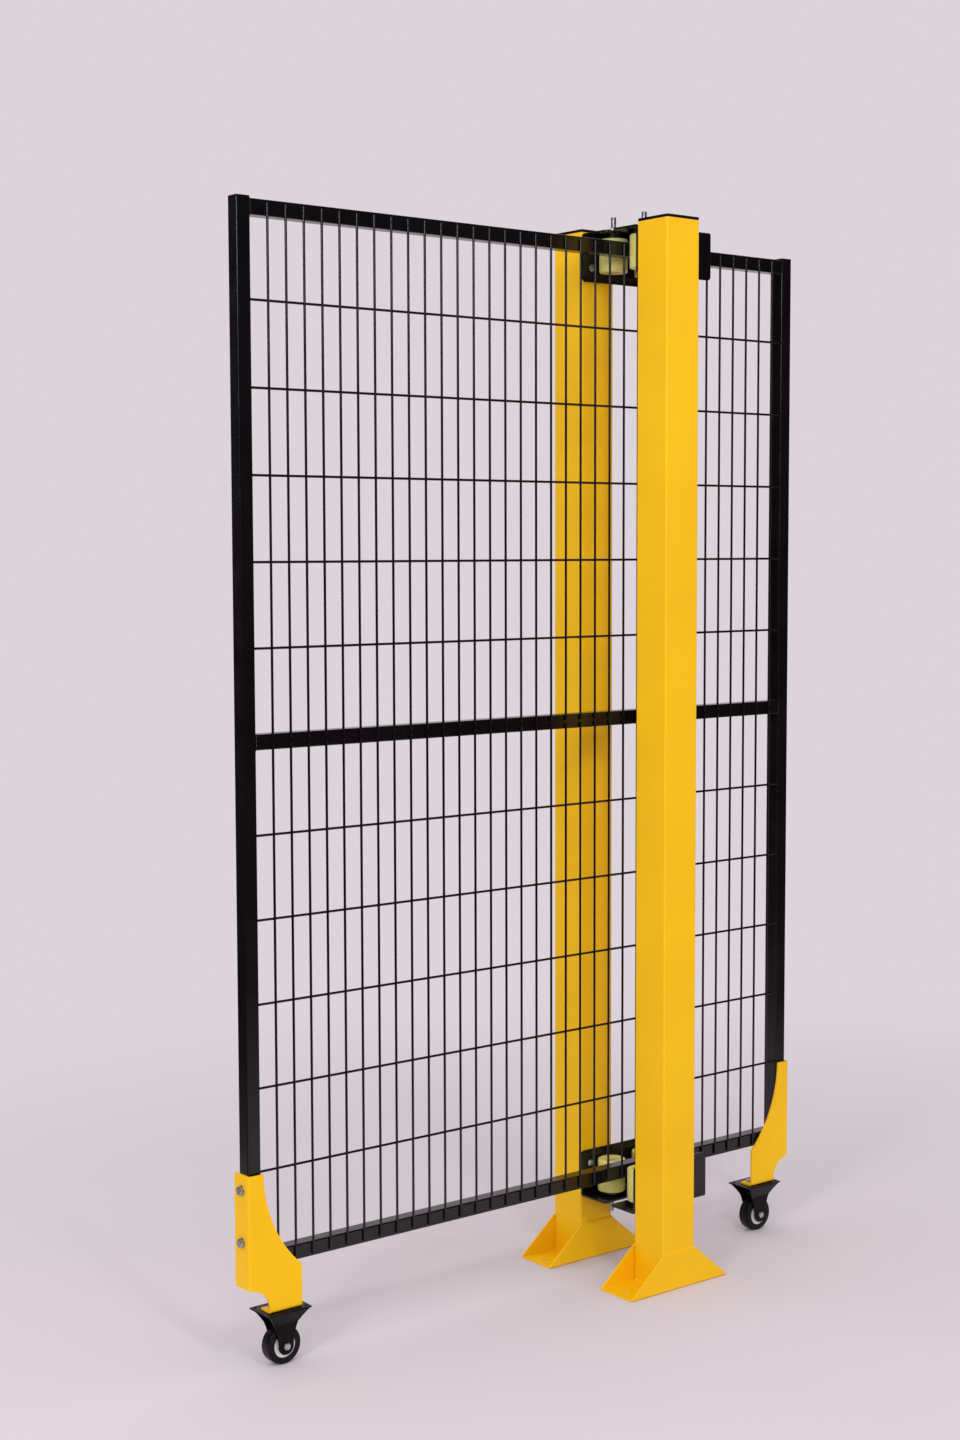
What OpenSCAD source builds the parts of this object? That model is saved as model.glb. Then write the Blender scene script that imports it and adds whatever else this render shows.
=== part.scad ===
// Sliding machine guard panel on two fixed casters, guided by nylon rollers
// between two posts that stand on the floor.
// Millimetres, +X along the travel, +Y from the front post to the back post,
// +Z up. The origin is the middle of the front post's foot, on the floor.

/* [Posts] */
// Width of a square post
post_w = 90; // [70:1:110]
// Wall of a post
post_wall = 3; // [2:0.5:4]
// Outer corner radius of a post
post_corner = 4; // [4:0.5:8]
// Height of a post above the upper guide brackets
post_over = 4; // [1:1:60]
// Thickness of the cap on a post
cap_t = 6; // [3:0.5:12]
// Depth of the cap's plug inside the post
cap_plug = 12; // [6:1:30]

/* [Feet] */
// Length of a foot along the floor
foot_len = 273; // [220:1:340]
// Height of a foot's side flanges
foot_h = 80; // [50:1:90]
// Sheet thickness of a foot
foot_t = 4; // [3:0.5:8]
// Diameter of an anchor hole
anchor_d = 14; // [10:0.5:18]
// Distance from the end of a foot to its anchor hole
anchor_edge = 27; // [20:1:38]

/* [Panel frame] */
// Width of the panel over its stiles
panel_w = 1450; // [1200:1:1700]
// Height of the panel
panel_h = 2000; // [1500:1:2400]
// Gap between the floor and the panel
floor_gap = 200; // [180:1:260]
// Height of the lower mesh field
lower_field_h = 957; // [600:1:1100]
// Width of a frame tube
tube_w = 30; // [25:1:40]
// Wall of a frame tube
tube_wall = 2; // [1.5:0.5:3]
// Outer corner radius of a frame tube
tube_corner = 3; // [3:0.5:5]
// Thickness of the end caps on the stiles
stile_cap_t = 4; // [2:0.5:8]
// Depth of a stile cap's plug
stile_plug = 10; // [5:1:20]
// How far the middle of the panel stands from the posts, against +X
panel_back = 236; // [0:1:300]

/* [Mesh] */
// Thickness of an upright mesh bar
bar_d = 5; // [3:0.5:6]
// Pitch of the upright bars
bar_pitch = 40; // [30:1:60]
// Thickness of a level wire
wire_d = 5; // [3:0.5:6]
// Pitch of the level wires
wire_pitch = 160; // [100:1:200]
// Depth to which bars and wires are fused at a crossing
weld_bite = 0.6; // [0.4:0.1:1]
// How far a bar stops short of the frame's edge
bar_short = 6; // [4:1:12]

/* [Guides] */
// Length of a guide bracket
bracket_len = 210; // [190:1:260]
// Height of a guide bracket on its post
bracket_h = 100; // [80:1:130]
// Sheet thickness of a guide bracket
bracket_t = 4; // [3:0.5:6]
// Radius of a guide bracket's free corners
bracket_corner = 8; // [3:0.5:12]
// Inner bend radius of folded sheet
bend_in = 2; // [1:0.5:3]
// Spacing of a bracket's four bolts
bracket_bolt_pitch = 40; // [30:1:50]
// Diameter of a bracket bolt
bracket_bolt_d = 8; // [6:0.5:10]
// Diameter of a guide roller
roller_d = 60; // [50:1:70]
// Height of a guide roller
roller_h = 70; // [50:1:75]
// Distance between the two rollers of a bracket
roller_pitch = 100; // [80:1:120]
// Diameter of a roller's bolt
rod_d = 12; // [10:0.5:14]
// Length of a roller bolt beyond its bracket
rod_out = 34; // [25:1:50]
// Diameter of the recess around a roller bolt's head
recess_d = 36; // [32:0.5:44]
// Depth of that recess
recess_h = 14; // [12:0.5:20]
// Gap between the lower guide brackets and the panel
low_room = 51; // [40:1:60]
// Gap between the panel and the upper guide brackets
high_room = 21; // [15:1:30]

/* [Casters] */
// Diameter of a caster wheel
wheel_d = 75; // [65:1:80]
// Width of a caster wheel
wheel_w = 28; // [22:1:32]
// Radius of the tread's shoulders
shoulder = 5; // [2:0.5:8]
// Diameter of a wheel's core
hub_d = 48; // [40:1:54]
// Height of a caster over its plate
caster_h = 110; // [104:1:118]
// Length of a caster's plate
plate_len = 100; // [90:1:110]
// Width of a caster's plate
plate_w = 65; // [60:1:72]
// Thickness of a caster's plate
plate_t = 3; // [2:0.5:4]
// Thickness of a fork leg
leg_t = 2.5; // [2:0.5:3]
// Drop over which a fork leg slopes in from the plate
leg_slope = 26; // [20:1:30]
// Radius of a fork leg's end around the axle
leg_end = 17; // [14:0.5:20]
// Diameter of a caster's axle
axle_d = 8; // [6:0.5:10]
// Distance of a caster from the panel's side
caster_in = 80; // [76:1:96]

/* [Caster brackets] */
// Sheet thickness of a caster bracket
gusset_t = 4; // [3:0.5:6]
// Width of a caster bracket along the panel
gusset_w = 114; // [110:1:125]
// Height of a caster bracket above the panel's lower edge
gusset_up = 184; // [170:1:230]
// Width of a caster bracket at its top
gusset_top = 30; // [26:1:40]
// Radius of a caster bracket's hollow edge
gusset_arc = 257; // [230:1:290]
// Radius of the cut-out below the stile
cut_r = 46; // [42:1:52]
// Depth of a caster bracket's side flange
flange_w = 50; // [46:1:60]
// Distance from the bolts in a caster bracket's seat to its rear edge
seat_edge = 10; // [8:1:30]
// Diameter of the bolts through a caster bracket's seat
seat_bolt_d = 8; // [6:0.5:8]
// Height of the lower bolt above the panel's lower edge
bolt_low = 53; // [35:1:60]
// Distance between the two bolts of a caster bracket
bolt_rise = 101; // [80:1:105]
// Diameter of a caster bracket's bolts
caster_bolt_d = 10; // [8:0.5:10]

/* [Clearances] */
// Gap between a roller and the panel
roller_gap = 0.3; // [0.2:0.1:1]
// Gap between a roller and its bracket's flange
roller_side = 5; // [3:0.5:8]
// Gap between a turning piece and what carries it
turn_gap = 0.3; // [0.2:0.1:0.6]
// Gap between a bolt and its hole, at each side
hole_gap = 0.5; // [0.3:0.1:1]
// Gap between a plug and the tube around it
plug_gap = 0.3; // [0.2:0.1:0.6]
// Gap between a wheel and each fork leg
fork_gap = 2.5; // [1.5:0.5:4]

/* [Hidden] */
$fn = 48;
BAR_SIDES = 8;
NUT_SIDES = 6;
cut = 1;                                    // how far a cutting shape runs past what it cuts
yellow = [0.96, 0.73, 0.08];
black = [0.08, 0.08, 0.09];
cream = [0.84, 0.83, 0.52];
zinc = [0.72, 0.73, 0.75];
pale = [0.80, 0.80, 0.81];

// Hardware in proportion to its thread, as standard bolts are.
function nut_across(d) = 1.5 * d + 1;
function nut_high(d) = 0.8 * d;
function washer_d(d) = 2 * d;
function head_high(d) = 0.63 * d;
washer_t = 2;
thin_nut_h = 0.5 * rod_d;

// Levels.
panel_top = floor_gap + panel_h;
guide_low = floor_gap - low_room - bracket_t;
guide_high = panel_top + high_room + bracket_t;
post_top = guide_high + post_over;
rail_mid = floor_gap + tube_w + lower_field_h + tube_w / 2;

// Depths, from the front post to the back post.
axle_off = bracket_t + roller_side + roller_d / 2;
bars_y = post_w / 2 + axle_off + roller_d / 2 + roller_gap;
frame_y = bars_y + bar_d;
wheel_y = frame_y + tube_w / 2;
between = (bars_y + frame_y + tube_w) / 2;
back_y = 2 * between;
web_w = 2 * axle_off;
seat_w = wheel_y + seat_edge - bars_y + gusset_t;

// Where the round cut-out of a caster bracket starts, just above the seat's bend.
neck_low = caster_h + gusset_t + bend_in + 1;

// Along the travel.
stile_left = -panel_back - panel_w / 2;
stile_right = stile_left + panel_w;
bracket_left = -post_w / 2;
roller_left = bracket_left + (bracket_len - roller_pitch) / 2;
roller_lift = washer_t + thin_nut_h + turn_gap;

module ring_outline(w, wall, corner) {
    difference() {
        rounded_square(w, corner);
        square(w - 2 * wall, center = true);
    }
}

module rounded_square(w, corner) {
    square([w, w - 2 * corner], center = true);
    square([w - 2 * corner, w], center = true);
    for (x = [-1, 1], y = [-1, 1])
        translate([x * (w / 2 - corner), y * (w / 2 - corner)]) circle(corner);
}

// A plate's outline from the origin, with its two far corners rounded.
module tab_outline(w, h, corner) {
    square([w, h - corner]);
    translate([corner, 0]) square([w - 2 * corner, h]);
    for (x = [corner, w - corner])
        translate([x, h - corner]) circle(corner);
}

// Section of a sheet folded once at the origin, with legs along +X and +Y.
module fold_section(leg_x, leg_y, t, inner) {
    outer = inner + t;
    translate([outer, 0]) square([leg_x - outer, t]);
    translate([0, outer]) square([t, leg_y - outer]);
    intersection() {
        square(outer);
        translate([outer, outer]) difference() {
            circle(outer);
            circle(inner);
        }
    }
}

// Repeats its child on the front or back post and at the lower or upper guide.
module at_guide(back, upper) {
    translate([0, back ? back_y : 0, upper ? guide_low + guide_high : 0])
            mirror([0, back ? 1 : 0, 0])
                mirror([0, 0, upper ? 1 : 0])
                    children();
}

module bolt_pattern_y(y, length, d) {
    for (x = [-1, 1], z = [-1, 1])
        translate([x * bracket_bolt_pitch / 2, y, guide_low + bracket_h / 2 + z * bracket_bolt_pitch / 2])
            rotate([-90, 0, 0]) cylinder(d = d, h = length);
}

module post(back) {
    color(yellow) difference() {
        translate([0, back ? back_y : 0, foot_t])
            linear_extrude(post_top - foot_t) ring_outline(post_w, post_wall, post_corner);
        for (upper = [false, true])
            at_guide(back, upper)
                bolt_pattern_y(post_w / 2 - post_wall - cut, post_wall + 2 * cut, bracket_bolt_d + 2 * hole_gap);
    }
}

module post_cap(back) {
    plug = post_w - 2 * post_wall - 2 * plug_gap;
    color(black) translate([0, back ? back_y : 0, post_top]) {
        linear_extrude(cap_t) rounded_square(post_w, post_corner);
        translate([-plug / 2, -plug / 2, -cap_plug]) cube([plug, plug, cap_plug]);
    }
}

// A shoe folded up at both sides of the post.
module foot(back) {
    side = post_w / 2 + foot_t;
    color(yellow) translate([0, back ? back_y : 0, 0]) difference() {
        intersection() {
            translate([-foot_len / 2, 0, 0]) rotate([90, 0, 90])
                linear_extrude(foot_len) difference() {
                    union() {
                        translate([-side, foot_t]) square([2 * side, foot_h - foot_t]);
                        translate([-post_w / 2, 0]) square([post_w, foot_t]);
                        for (s = [-1, 1])
                            translate([s * post_w / 2, foot_t]) circle(foot_t);
                    }
                    translate([-post_w / 2, foot_t]) square([post_w, foot_h]);
                }
            translate([0, side + cut, 0]) rotate([90, 0, 0])
                linear_extrude(2 * side + 2 * cut) polygon([
                    [-foot_len / 2, 0], [foot_len / 2, 0], [foot_len / 2, foot_t],
                    [post_w / 2, foot_h], [-post_w / 2, foot_h], [-foot_len / 2, foot_t]]);
        }
        for (s = [-1, 1])
            translate([s * (foot_len / 2 - anchor_edge), 0, -cut]) cylinder(d = anchor_d, h = foot_t + 2 * cut);
    }
}

// The lower front bracket: a flange on the post and a web below the rollers.
module bracket() {
    color(black) difference() {
        intersection() {
            translate([bracket_left, post_w / 2, guide_low]) rotate([90, 0, 90])
                linear_extrude(bracket_len) fold_section(web_w, bracket_h, bracket_t, bend_in);
            translate([bracket_left, post_w / 2 + web_w, guide_low]) rotate([90, 0, 0])
                linear_extrude(web_w) tab_outline(bracket_len, bracket_h, bracket_corner);
            translate([bracket_left, post_w / 2, guide_low])
                linear_extrude(bracket_h) tab_outline(bracket_len, web_w, bracket_corner);
        }
        bolt_pattern_y(post_w / 2 - cut, bracket_t + 2 * cut, bracket_bolt_d + 2 * hole_gap);
        for (i = [0, 1])
            translate([roller_left + i * roller_pitch, post_w / 2 + axle_off, guide_low - cut])
                cylinder(d = rod_d + 2 * hole_gap, h = bracket_t + 2 * cut);
    }
}

// A domed bolt along +Y, its head standing on the plane y = 0.
module dome_bolt(d, grip) {
    head = 1.9 * d;
    high = 0.55 * d;
    ball = (head * head / 4 + high * high) / (2 * high);
    intersection() {
        translate([0, high - ball, 0]) sphere(ball);
        rotate([-90, 0, 0]) cylinder(d = head, h = high + cut);
    }
    rotate([90, 0, 0]) cylinder(d = d, h = grip);
}

module bracket_bolts(back) {
    color(zinc)
        for (upper = [false, true])
            at_guide(back, upper)
                for (x = [-1, 1], z = [-1, 1])
                    translate([x * bracket_bolt_pitch / 2, post_w / 2 + bracket_t,
                        guide_low + bracket_h / 2 + z * bracket_bolt_pitch / 2])
                        dome_bolt(bracket_bolt_d, bracket_t + post_wall + bracket_bolt_d);
}

module nut(d, h) {
    cylinder(d = nut_across(d) / cos(180 / NUT_SIDES), h = h, $fn = NUT_SIDES);
}

// A roller's bolt with its head in the roller and a nut at each side of the web.
module roller_bolt() {
    web_top = guide_low + bracket_t;
    seat = web_top + roller_lift + roller_h - recess_h + turn_gap;
    translate([0, 0, guide_low - rod_out]) cylinder(d = rod_d, h = seat + washer_t - guide_low + rod_out);
    translate([0, 0, guide_low - washer_t]) cylinder(d = washer_d(rod_d), h = washer_t);
    translate([0, 0, guide_low - washer_t - nut_high(rod_d)]) nut(rod_d, nut_high(rod_d));
    translate([0, 0, web_top]) cylinder(d = washer_d(rod_d), h = washer_t);
    translate([0, 0, web_top + washer_t]) nut(rod_d, thin_nut_h);
    translate([0, 0, seat]) cylinder(d = washer_d(rod_d), h = washer_t);
    translate([0, 0, seat + washer_t]) nut(rod_d, head_high(rod_d));
}

module roller_bolts(back, upper) {
    color(zinc) at_guide(back, upper)
        for (i = [0, 1])
            translate([roller_left + i * roller_pitch, post_w / 2 + axle_off, 0]) roller_bolt();
}

module roller(back, upper, i) {
    low = guide_low + bracket_t + roller_lift;
    color(cream) at_guide(back, upper)
        translate([roller_left + i * roller_pitch, post_w / 2 + axle_off, low]) difference() {
            cylinder(d = roller_d, h = roller_h);
            translate([0, 0, -cut]) cylinder(d = rod_d + 2 * turn_gap, h = roller_h + 2 * cut);
            translate([0, 0, roller_h - recess_h]) cylinder(d = recess_d, h = recess_h + cut);
        }
}

module stile(x) {
    color(black) difference() {
        translate([x + tube_w / 2, frame_y + tube_w / 2, floor_gap])
            linear_extrude(panel_h) ring_outline(tube_w, tube_wall, tube_corner);
        translate([x < stile_right - tube_w ? x - cut : x + tube_w - tube_wall - cut, 0, 0])
            for (z = [bolt_low, bolt_low + bolt_rise])
                translate([0, wheel_y, floor_gap + z]) rotate([0, 90, 0])
                    cylinder(d = caster_bolt_d + 2 * hole_gap, h = tube_wall + 2 * cut);
    }
}

module stile_caps() {
    plug = tube_w - 2 * tube_wall - 2 * plug_gap;
    color(black)
        for (x = [stile_left + tube_w / 2, stile_right - tube_w / 2], top = [0, 1])
            translate([x, frame_y + tube_w / 2, top ? panel_top : floor_gap]) mirror([0, 0, 1 - top]) {
                linear_extrude(stile_cap_t) rounded_square(tube_w, tube_corner);
                translate([-plug / 2, -plug / 2, -stile_plug]) cube([plug, plug, stile_plug]);
            }
}

module rail(z) {
    color(black) translate([stile_left + tube_w, frame_y + tube_w / 2, z + tube_w / 2]) rotate([90, 0, 90])
        linear_extrude(panel_w - 2 * tube_w) ring_outline(tube_w, tube_wall, tube_corner);
}

// A straight bar with flat faces that measure d across.
module wire(d, length) {
    linear_extrude(length) rotate(180 / BAR_SIDES) circle(d = d / cos(180 / BAR_SIDES), $fn = BAR_SIDES);
}

// Bars from low to high in front of the rails, and wires between the stiles at the given levels.
module mesh(low, high, levels) {
    inside = panel_w - 2 * tube_w;
    bars = floor(inside / bar_pitch);
    first = stile_left + tube_w + (inside - (bars - 1) * bar_pitch) / 2;
    color(black) union() {
        for (i = [0 : bars - 1])
            translate([first + i * bar_pitch, bars_y + bar_d / 2, low]) wire(bar_d, high - low);
        for (z = levels)
            translate([stile_left + tube_w, frame_y + wire_d / 2 - weld_bite, z]) rotate([0, 90, 0])
                wire(wire_d, inside);
    }
}

function steps(room) = [1 : floor((room - wire_d) / wire_pitch)];

module upper_mesh() {
    face = rail_mid + tube_w / 2;
    mesh(rail_mid + bar_short / 2, panel_top - bar_short,
        [for (i = steps(panel_top - tube_w - face)) face + i * wire_pitch]);
}

module lower_mesh() {
    face = rail_mid - tube_w / 2;
    mesh(floor_gap + bar_short, rail_mid - bar_short / 2,
        [for (i = steps(lower_field_h)) face - i * wire_pitch]);
}

// Repeats its child at the left or right side of the panel, measured inward from the stile.
module at_side(right) {
    translate([right ? stile_right : stile_left, 0, 0]) mirror([right ? 1 : 0, 0, 0]) children();
}

// The gusset that carries a caster: a plate before the mesh, a flange on the
// stile's side and a seat folded back over the caster.
module caster_bracket(right) {
    top = floor_gap + gusset_up;
    plate_y = bars_y - gusset_t;
    color(yellow) at_side(right) difference() {
        union() {
            intersection() {
                translate([-gusset_t, plate_y, caster_h])
                    linear_extrude(top - caster_h) fold_section(gusset_w + gusset_t, flange_w, gusset_t, bend_in);
                translate([0, plate_y + flange_w, 0]) rotate([90, 0, 0])
                    linear_extrude(flange_w) gusset_outline(top);
            }
            translate([cut_r - gusset_t, plate_y, caster_h]) rotate([90, 0, 90])
                linear_extrude(gusset_w - cut_r + gusset_t)
                    fold_section(seat_w, neck_low - caster_h, gusset_t, bend_in);
        }
        for (z = [bolt_low, bolt_low + bolt_rise])
            translate([-gusset_t - cut, wheel_y, floor_gap + z]) rotate([0, 90, 0])
                cylinder(d = caster_bolt_d + 2 * hole_gap, h = gusset_t + 2 * cut);
        seat_bolts() translate([0, 0, caster_h - cut])
            cylinder(d = seat_bolt_d + 2 * hole_gap, h = gusset_t + 2 * cut);
    }
}

// The plate's outline above the seat's bend, hollow above the mesh and cut away below the stile.
module gusset_outline(top) {
    difference() {
        translate([-gusset_t, caster_h + gusset_t + bend_in])
            square([gusset_w + gusset_t, top - caster_h - gusset_t - bend_in]);
        translate([gusset_top + gusset_arc, top]) circle(gusset_arc);
        translate([-gusset_t, neck_low]) circle(cut_r);
        translate([-gusset_t - cut, caster_h]) square([cut_r + cut, neck_low - caster_h]);
    }
}

// The two bolts through the seat, in line over the wheel.
module seat_bolts() {
    inset = (gusset_w - cut_r + gusset_t) / 2;
    middle = gusset_w - inset;
    for (s = [-1, 1])
        translate([middle + s * inset / 2, wheel_y, 0]) children();
}

module caster_bolts(right) {
    color(zinc) at_side(right) {
        for (z = [bolt_low, bolt_low + bolt_rise])
            translate([-gusset_t, wheel_y, floor_gap + z]) rotate([0, 90, 0]) {
                cylinder(d = caster_bolt_d, h = gusset_t + tube_wall + caster_bolt_d);
                translate([0, 0, -washer_t]) cylinder(d = washer_d(caster_bolt_d), h = washer_t);
                translate([0, 0, -washer_t - head_high(caster_bolt_d)])
                    nut(caster_bolt_d, head_high(caster_bolt_d));
            }
        seat_bolts() {
            under = caster_h - plate_t - nut_high(seat_bolt_d);
            translate([0, 0, caster_h + gusset_t]) nut(seat_bolt_d, head_high(seat_bolt_d));
            translate([0, 0, under]) cylinder(d = seat_bolt_d, h = caster_h + gusset_t - under);
            translate([0, 0, under]) nut(seat_bolt_d, nut_high(seat_bolt_d));
        }
    }
}

// Half of the fork's section: the plate, and a leg that slopes in below it and ends upright.
module fork_section() {
    top = caster_h;
    leg_in = wheel_w / 2 + fork_gap;
    polygon([
        [-cut, top], [plate_w / 2, top], [plate_w / 2, top - plate_t], [leg_in + leg_t, top - plate_t - leg_slope],
        [leg_in + leg_t, 0], [leg_in, 0], [leg_in, top - plate_t - leg_slope],
        [plate_w / 2 - leg_t, top - plate_t], [-cut, top - plate_t]]);
}

// The legs' outline from the side, narrowing with hollow edges to the round end at the axle.
module leg_outline() {
    rise = caster_h - wheel_d / 2;
    wide = plate_len / 2;
    hollow = (rise * rise + pow(wide - leg_end, 2)) / (2 * (wide - leg_end));
    circle(leg_end);
    difference() {
        translate([-wide, 0]) square([2 * wide, rise]);
        for (e = [-1, 1])
            translate([e * (leg_end + hollow), 0]) circle(hollow);
    }
}

// The pressed fork: a plate whose long sides turn down into two legs.
module caster_fork(right) {
    color(black) at_side(right) difference() {
        intersection() {
            translate([caster_in - plate_len / 2, wheel_y, 0]) rotate([90, 0, 90])
                linear_extrude(plate_len)
                    for (s = [0, 1])
                        mirror([s, 0]) fork_section();
            translate([caster_in, wheel_y + plate_w / 2 + cut, wheel_d / 2]) rotate([90, 0, 0])
                linear_extrude(plate_w + 2 * cut) {
                    leg_outline();
                    translate([-plate_len / 2, caster_h - wheel_d / 2 - plate_t]) square([plate_len, plate_t]);
                }
        }
        translate([caster_in, wheel_y + plate_w / 2, wheel_d / 2]) rotate([90, 0, 0])
            cylinder(d = axle_d + 2 * turn_gap, h = plate_w);
        seat_bolts() translate([0, 0, caster_h - plate_t - cut])
            cylinder(d = seat_bolt_d + 2 * hole_gap, h = plate_t + 2 * cut);
        for (x = [-1, 1], y = [-1, 1])
            translate([caster_in + x * (plate_len / 2 - seat_bolt_d), wheel_y + y * (plate_w / 2 - seat_bolt_d),
                caster_h - plate_t - cut])
                cylinder(d = seat_bolt_d, h = plate_t + 2 * cut);
    }
}

module caster_axle(right) {
    reach = wheel_w / 2 + fork_gap + leg_t;
    color(zinc) at_side(right) translate([caster_in, wheel_y, wheel_d / 2]) rotate([90, 0, 0]) {
        translate([0, 0, -reach - nut_high(axle_d)]) cylinder(d = axle_d, h = 2 * reach + nut_high(axle_d));
        translate([0, 0, reach]) nut(axle_d, head_high(axle_d));
        translate([0, 0, -reach - nut_high(axle_d)]) nut(axle_d, nut_high(axle_d));
    }
}

module wheel_tread(right) {
    deep = (wheel_d - hub_d) / 2;
    color(black) at_side(right) translate([caster_in, wheel_y, wheel_d / 2]) rotate([90, 0, 0])
        rotate_extrude() {
            translate([hub_d / 2, -wheel_w / 2]) square([deep - shoulder, wheel_w]);
            translate([hub_d / 2, shoulder - wheel_w / 2]) square([deep, wheel_w - 2 * shoulder]);
            for (s = [-1, 1])
                translate([wheel_d / 2 - shoulder, s * (wheel_w / 2 - shoulder)]) circle(shoulder);
        }
}

module wheel_core(right) {
    boss = wheel_w + 2 * (fork_gap - turn_gap);
    color(pale) at_side(right) translate([caster_in, wheel_y, wheel_d / 2]) rotate([90, 0, 0]) difference() {
        union() {
            cylinder(d = hub_d, h = wheel_w - shoulder, center = true);
            cylinder(d = 2 * axle_d, h = boss, center = true);
        }
        cylinder(d = axle_d + 2 * turn_gap, h = boss + 2 * cut, center = true);
    }
}

post(false);  // front_post
post(true);  // back_post
post_cap(false);  // front_post_cap
post_cap(true);  // back_post_cap
foot(false);  // front_foot
foot(true);  // back_foot
at_guide(false, false) bracket();  // front_lower_bracket
at_guide(true, false) bracket();  // back_lower_bracket
at_guide(false, true) bracket();  // front_upper_bracket
at_guide(true, true) bracket();  // back_upper_bracket
bracket_bolts(false);  // front_bracket_bolts
bracket_bolts(true);  // back_bracket_bolts
roller_bolts(false, false);  // front_lower_roller_bolts
roller_bolts(true, false);  // back_lower_roller_bolts
roller_bolts(false, true);  // front_upper_roller_bolts
roller_bolts(true, true);  // back_upper_roller_bolts
roller(false, false, 0);  // front_lower_left_roller
roller(false, false, 1);  // front_lower_right_roller
roller(true, false, 0);  // back_lower_left_roller
roller(true, false, 1);  // back_lower_right_roller
roller(false, true, 0);  // front_upper_left_roller
roller(false, true, 1);  // front_upper_right_roller
roller(true, true, 0);  // back_upper_left_roller
roller(true, true, 1);  // back_upper_right_roller
stile(stile_left);  // left_stile
stile(stile_right - tube_w);  // right_stile
stile_caps();
rail(panel_top - tube_w);  // top_rail
rail(rail_mid - tube_w / 2);  // middle_rail
rail(floor_gap);  // bottom_rail
upper_mesh();
lower_mesh();
caster_bracket(false);  // left_caster_bracket
caster_bracket(true);  // right_caster_bracket
caster_bolts(false);  // left_caster_bolts
caster_bolts(true);  // right_caster_bolts
caster_fork(false);  // left_caster_fork
caster_fork(true);  // right_caster_fork
caster_axle(false);  // left_caster_axle
caster_axle(true);  // right_caster_axle
wheel_tread(false);  // left_wheel_tread
wheel_tread(true);  // right_wheel_tread
wheel_core(false);  // left_wheel_core
wheel_core(true);  // right_wheel_core
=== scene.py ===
"""A sliding machine guard panel on casters between two floor posts, finished piece by piece."""
import math

import bmesh
import bpy
from mathutils import Matrix, Vector


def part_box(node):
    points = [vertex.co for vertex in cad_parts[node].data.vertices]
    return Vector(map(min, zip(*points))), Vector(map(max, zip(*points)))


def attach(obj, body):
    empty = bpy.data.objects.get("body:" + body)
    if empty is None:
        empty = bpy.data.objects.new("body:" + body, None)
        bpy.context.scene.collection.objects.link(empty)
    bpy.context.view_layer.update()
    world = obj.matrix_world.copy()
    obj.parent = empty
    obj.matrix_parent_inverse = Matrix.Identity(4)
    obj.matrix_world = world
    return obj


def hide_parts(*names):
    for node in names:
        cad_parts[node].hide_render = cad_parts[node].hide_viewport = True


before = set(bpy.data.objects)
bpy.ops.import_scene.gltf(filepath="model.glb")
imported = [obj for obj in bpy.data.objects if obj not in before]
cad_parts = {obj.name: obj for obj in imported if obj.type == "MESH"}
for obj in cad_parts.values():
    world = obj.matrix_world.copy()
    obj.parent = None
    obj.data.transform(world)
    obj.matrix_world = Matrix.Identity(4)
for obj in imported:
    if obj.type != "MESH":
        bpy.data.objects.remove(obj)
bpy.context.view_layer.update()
scene = bpy.context.scene
MM = 0.001

# ---- Camera ---------------------------------------------------------------
# Someone standing to the left of the gate, eye a little above its middle,
# with a lens just longer than normal and the camera tipped slightly down.
EYE = Vector((-3.028, -3.220, 1.558))
HEADING = 38.19  # degrees from +Y towards +X
TILT = -4.59
ROLL = -0.17
LENS_MM = 52.9

lens = bpy.data.cameras.new("camera")
lens.lens = LENS_MM
camera = bpy.data.objects.new("camera", lens)
scene.collection.objects.link(camera)
camera.matrix_world = (
    Matrix.Translation(EYE)
    @ Matrix.Rotation(math.radians(-HEADING), 4, "Z")
    @ Matrix.Rotation(math.radians(90 + TILT), 4, "X")
    @ Matrix.Rotation(math.radians(ROLL), 4, "Z")
)
scene.camera = camera

# ---- Posts ----------------------------------------------------------------
# Two cold-formed square steel tubes, 90 mm wide with a 3 mm wall, coated with
# safety yellow polyester powder after all welding and drilling was done.


def linear(code):
    """An sRGB hex colour as linear light, opaque."""
    parts = [int(code[i : i + 2], 16) / 255 for i in (1, 3, 5)]
    return (*[p / 12.92 if p <= 0.04045 else ((p + 0.055) / 1.055) ** 2.4 for p in parts], 1.0)


def add(tree, kind, settings=(), links=()):
    """Adds a node. Settings name its own properties or its inputs; links feed inputs from sockets."""
    node = tree.nodes.new(kind)
    for key, value in dict(settings).items():
        if isinstance(key, str) and hasattr(node, key):
            setattr(node, key, value)
        else:
            node.inputs[key].default_value = value
    for key, source in dict(links).items():
        tree.links.new(source, node.inputs[key])
    return node


def new_finish(name):
    """An empty material with one shader, and the place on the object that its patterns follow."""
    material = bpy.data.materials.new(name)
    material.use_nodes = True
    tree = material.node_tree
    tree.nodes.clear()
    shader = add(tree, "ShaderNodeBsdfPrincipled")
    add(tree, "ShaderNodeOutputMaterial", links={"Surface": shader.outputs["BSDF"]})
    place = add(tree, "ShaderNodeTexCoord").outputs["Object"]
    return material, tree, shader, place


def vary(tree, place, size, low, high, detail=2.0):
    """A value that drifts between low and high over patches of the given size in metres."""
    noise = add(tree, "ShaderNodeTexNoise", {"Scale": 1 / size, "Detail": detail}, {"Vector": place})
    spread = add(
        tree,
        "ShaderNodeMapRange",
        {"From Min": 0.3, "From Max": 0.7, "To Min": low, "To Max": high},
        {"Value": noise.outputs["Fac"]},
    )
    return spread.outputs["Result"]


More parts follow.
